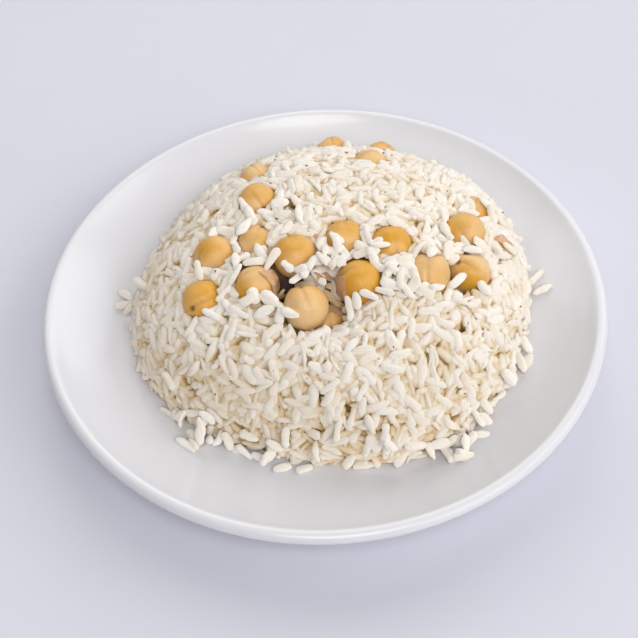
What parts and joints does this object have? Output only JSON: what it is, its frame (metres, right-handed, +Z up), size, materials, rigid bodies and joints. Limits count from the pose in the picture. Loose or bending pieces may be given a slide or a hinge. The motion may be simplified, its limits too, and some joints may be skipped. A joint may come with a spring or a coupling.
{
  "type": "plate of rice and chickpeas",
  "caption": "Domed heap of cooked white rice with whole chickpeas in its top, served on a shallow round white porcelain plate.",
  "frame": {"origin": "on the table under the centre of the plate", "axes": "+Z up; -Y towards the diner, as in the picture's view; +X to the right"},
  "size_m": [0.19, 0.19, 0.0514],
  "materials": {
    "porcelain": "glossy white glaze",
    "rice": "moist cooked white rice",
    "chickpea": "moist golden tan skin with a soft shine"
  },
  "bodies": {
    "root": {"plate": "porcelain", "rice_heap": "rice", "chickpea_01": "chickpea", "chickpea_02": "chickpea", "chickpea_03": "chickpea", "chickpea_04": "chickpea", "chickpea_05": "chickpea", "chickpea_06": "chickpea", "chickpea_07": "chickpea", "chickpea_08": "chickpea", "chickpea_09": "chickpea", "chickpea_10": "chickpea", "chickpea_11": "chickpea", "chickpea_12": "chickpea", "chickpea_13": "chickpea", "chickpea_14": "chickpea", "chickpea_15": "chickpea", "chickpea_16": "chickpea", "chickpea_17": "chickpea", "chickpea_18": "chickpea", "chickpea_19": "chickpea", "chickpea_20": "chickpea"}
  },
  "joints": []
}
